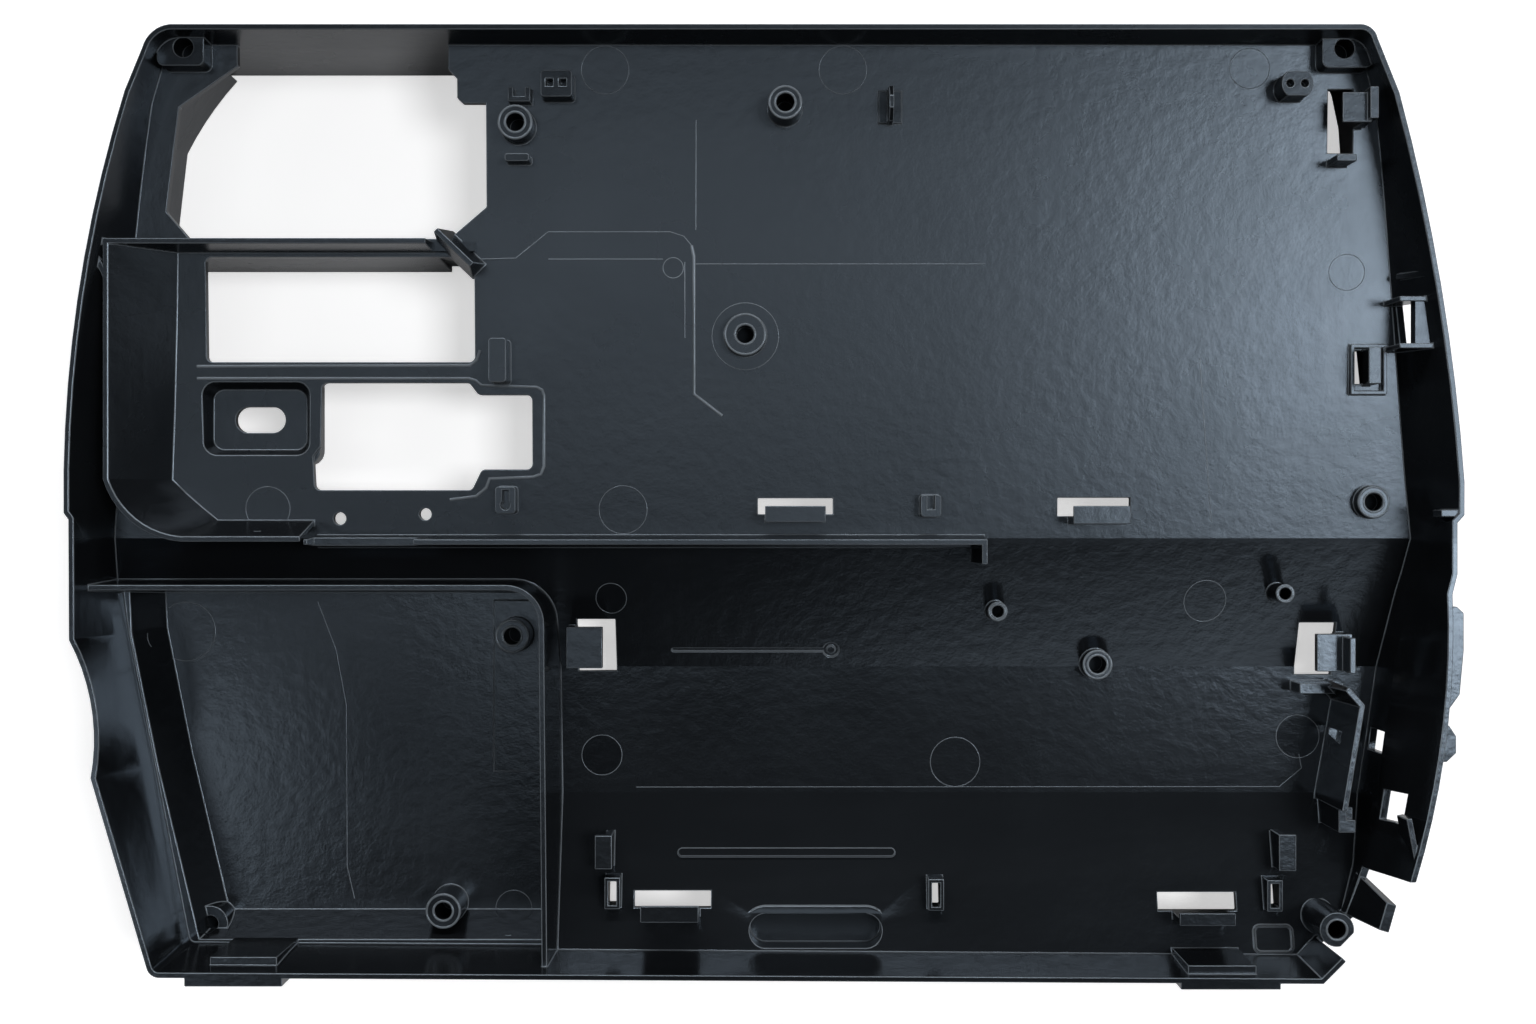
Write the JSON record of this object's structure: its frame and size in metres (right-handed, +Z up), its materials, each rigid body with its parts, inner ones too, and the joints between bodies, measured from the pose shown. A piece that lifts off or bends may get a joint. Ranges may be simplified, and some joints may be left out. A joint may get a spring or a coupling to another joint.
{
  "type": "injection moulded plastic housing",
  "caption": "Shallow dark plastic housing shell with a leaning skirt, stepped floor, cut-outs, a deep compartment, screw bosses and snap features.",
  "frame": {"origin": "centre of the part's bounding box in X and Y, on the foot plane of the skirt", "axes": "+X along the long side, towards the open corner end; +Y towards the straight edge with the two corner screw pads; +Z up, out of the open tray side"},
  "size_m": [0.2804, 0.1932, 0.04],
  "materials": {
    "housing_plastic": "matte"
  },
  "bodies": {
    "root": {"housing": "housing_plastic"}
  },
  "joints": []
}
